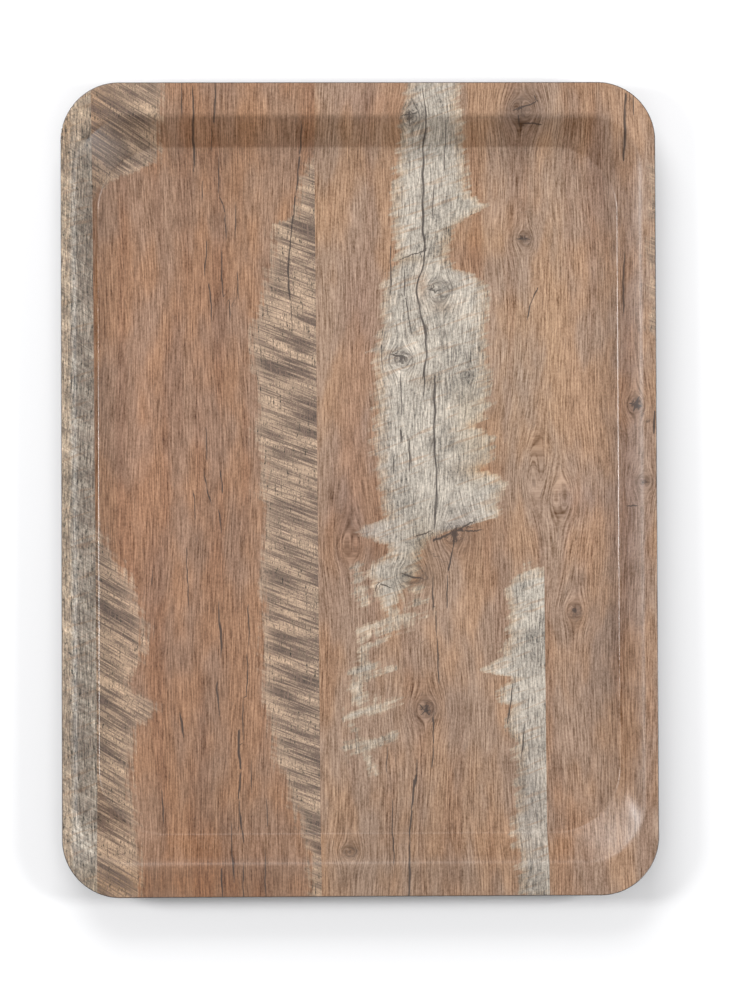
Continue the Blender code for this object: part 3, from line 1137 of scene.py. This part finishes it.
def dress(piece, material):
    piece.data.materials.clear()
    piece.data.materials.append(material)
    print(piece.name, "wears", material.name, "of", len(material.node_tree.nodes), "nodes")


dress(decor_face, plank_print())

# %% [markdown]
# The core is brown paper soaked in resin and pressed hard. It shows only at the trimmed edge, as a
# thin dark line with the faint layers of its papers. The backing is a plain dark sheet with the
# fine texture of the press plate, rubbed a little where the tray stands.


# %% Core and backing materials
def core_paper(shift):
    material, tree, shader, point = new_material(f"core_paper_{shift}")
    layers = noise(point, 0.25, 0.25, detail=3.0, shift=60.0 + shift)
    fibre = noise(point, 2.0, 2.0, detail=2.0, shift=70.0 + shift)
    colour = mix(layers, tone(52, 40, 33), tone(84, 66, 54))
    feed(tree, shader.inputs["Base Color"], shade(colour, fibre * 0.8 + 0.6))
    feed(tree, shader.inputs["Roughness"], layers * 0.2 + 0.45)
    bumped(tree, shader, fibre, 0.00003)
    return material


def backing_laminate():
    material, tree, shader, point = new_material("backing_laminate")
    cloud = noise(point, 0.02, 0.02, detail=3.0, shift=80.0)
    grit = noise(point, 1.4, 1.4, detail=2.0, shift=82.0)
    rub = noise(point, 0.05, 0.6, detail=3.0, sharp=0.7, shift=84.0, turn=0.7)
    worn = ramp(rub, 0.60, 0.72) * ramp(cloud, 0.45, 0.65)
    colour = mix(cloud, tone(62, 52, 45), tone(74, 62, 54))
    colour = mix(worn * 0.25, shade(colour, grit * 0.3 + 0.85), tone(120, 106, 95))
    feed(tree, shader.inputs["Base Color"], colour)
    feed(tree, shader.inputs["Roughness"], grit * 0.14 + worn * 0.12 + 0.40)
    bumped(tree, shader, grit, 0.00004)
    return material


for n, ply in enumerate(core_plies):
    dress(ply, core_paper(n))
dress(backing_face, backing_laminate())

# %% [markdown]
# ## What stands for what
# Each sheet made here takes the place of the plain one of the fixed model. The clear overlay has no
# look of its own apart from the sheen on the print, so the decor face stands for both.

# %% Tie the pieces to the frame
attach(decor_face, "root")
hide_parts("wear_overlay", "decor_sheet")
for n, ply in enumerate(core_plies):
    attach(ply, "root")
    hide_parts(f"core_sheet_{n + 1}")
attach(backing_face, "root")
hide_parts("backing_sheet")

# %% [markdown]
# ## Table and light
# The tray lies on a pale matt table in a white room. The table is a bare square, big enough to reach
# past the camera's view on every side.


# %% Table
TABLE_HALF = 3.0
TABLE_WHITE = (0.90, 0.90, 0.91, 1)


def make_table():
    mesh = bpy.data.meshes.new("table")
    signs = [(-1, -1), (1, -1), (1, 1), (-1, 1)]
    corners = [(TABLE_HALF * x, TABLE_HALF * y, 0) for x, y in signs]
    mesh.from_pydata(corners, [], [(0, 1, 2, 3)])
    table = bpy.data.objects.new("table", mesh)
    bpy.context.scene.collection.objects.link(table)
    material, tree, shader, point = new_material("table_white")
    shader.inputs["Base Color"].default_value = TABLE_WHITE
    shader.inputs["Roughness"].default_value = 0.9
    shader.inputs["Specular IOR Level"].default_value = 0.2
    dress(table, material)


make_table()

# %% [markdown]
# Area lights suit a satin tray: their size softens the shadow, and the sheen mirrors their shape. The
# key light stands past the far end, so the shadow falls towards the near end, and a larger one above
# fills it. A light at each side draws a bright line along a long crease. Three thin lights near the
# table are mirrored by the sloping walls of the corners. They show in the sheen alone, and stand so
# low that the opposite rim hides them from the tray's floor.


# %% Lights
ROOM_WHITE = (1, 1, 1, 1)
ROOM_STRENGTH = 0.30


def soft_light(name, at, size, power, gloss_only=False):
    """An area light that faces the tray. A gloss-only one shows in the sheen and nowhere else."""
    data = bpy.data.lights.new(name, "AREA")
    data.shape = "RECTANGLE"
    data.size, data.size_y = size
    data.energy = power
    light = bpy.data.objects.new(name, data)
    light.location = at
    light.rotation_euler = (-Vector(at)).to_track_quat("-Z", "Y").to_euler()
    light.visible_diffuse = light.visible_camera = not gloss_only
    bpy.context.scene.collection.objects.link(light)


soft_light("key", (-0.4, 1.9, 1.3), (1.6, 1.2), 34)
soft_light("top", (0.0, -0.2, 2.9), (2.4, 2.4), 15)
soft_light("left", (-1.6, 0.13, 1.2), (0.4, 0.6), 18.5)
soft_light("right", (1.6, -0.03, 1.2), (0.4, 0.6), 17.5)
soft_light("far_left_card", (-1.25, 1.28, 0.06), (0.9, 0.10), 50, gloss_only=True)
soft_light("low_left_card", (-1.72, 0.46, 0.05), (0.3, 0.08), 30, gloss_only=True)
soft_light("near_right_card", (1.35, -1.18, 0.06), (0.6, 0.10), 44, gloss_only=True)

world = bpy.data.worlds.new("studio")
world.use_nodes = True
background = world.node_tree.nodes["Background"]
background.inputs["Color"].default_value = ROOM_WHITE
background.inputs["Strength"].default_value = ROOM_STRENGTH
bpy.context.scene.world = world
bpy.context.scene.view_settings.view_transform = "Standard"
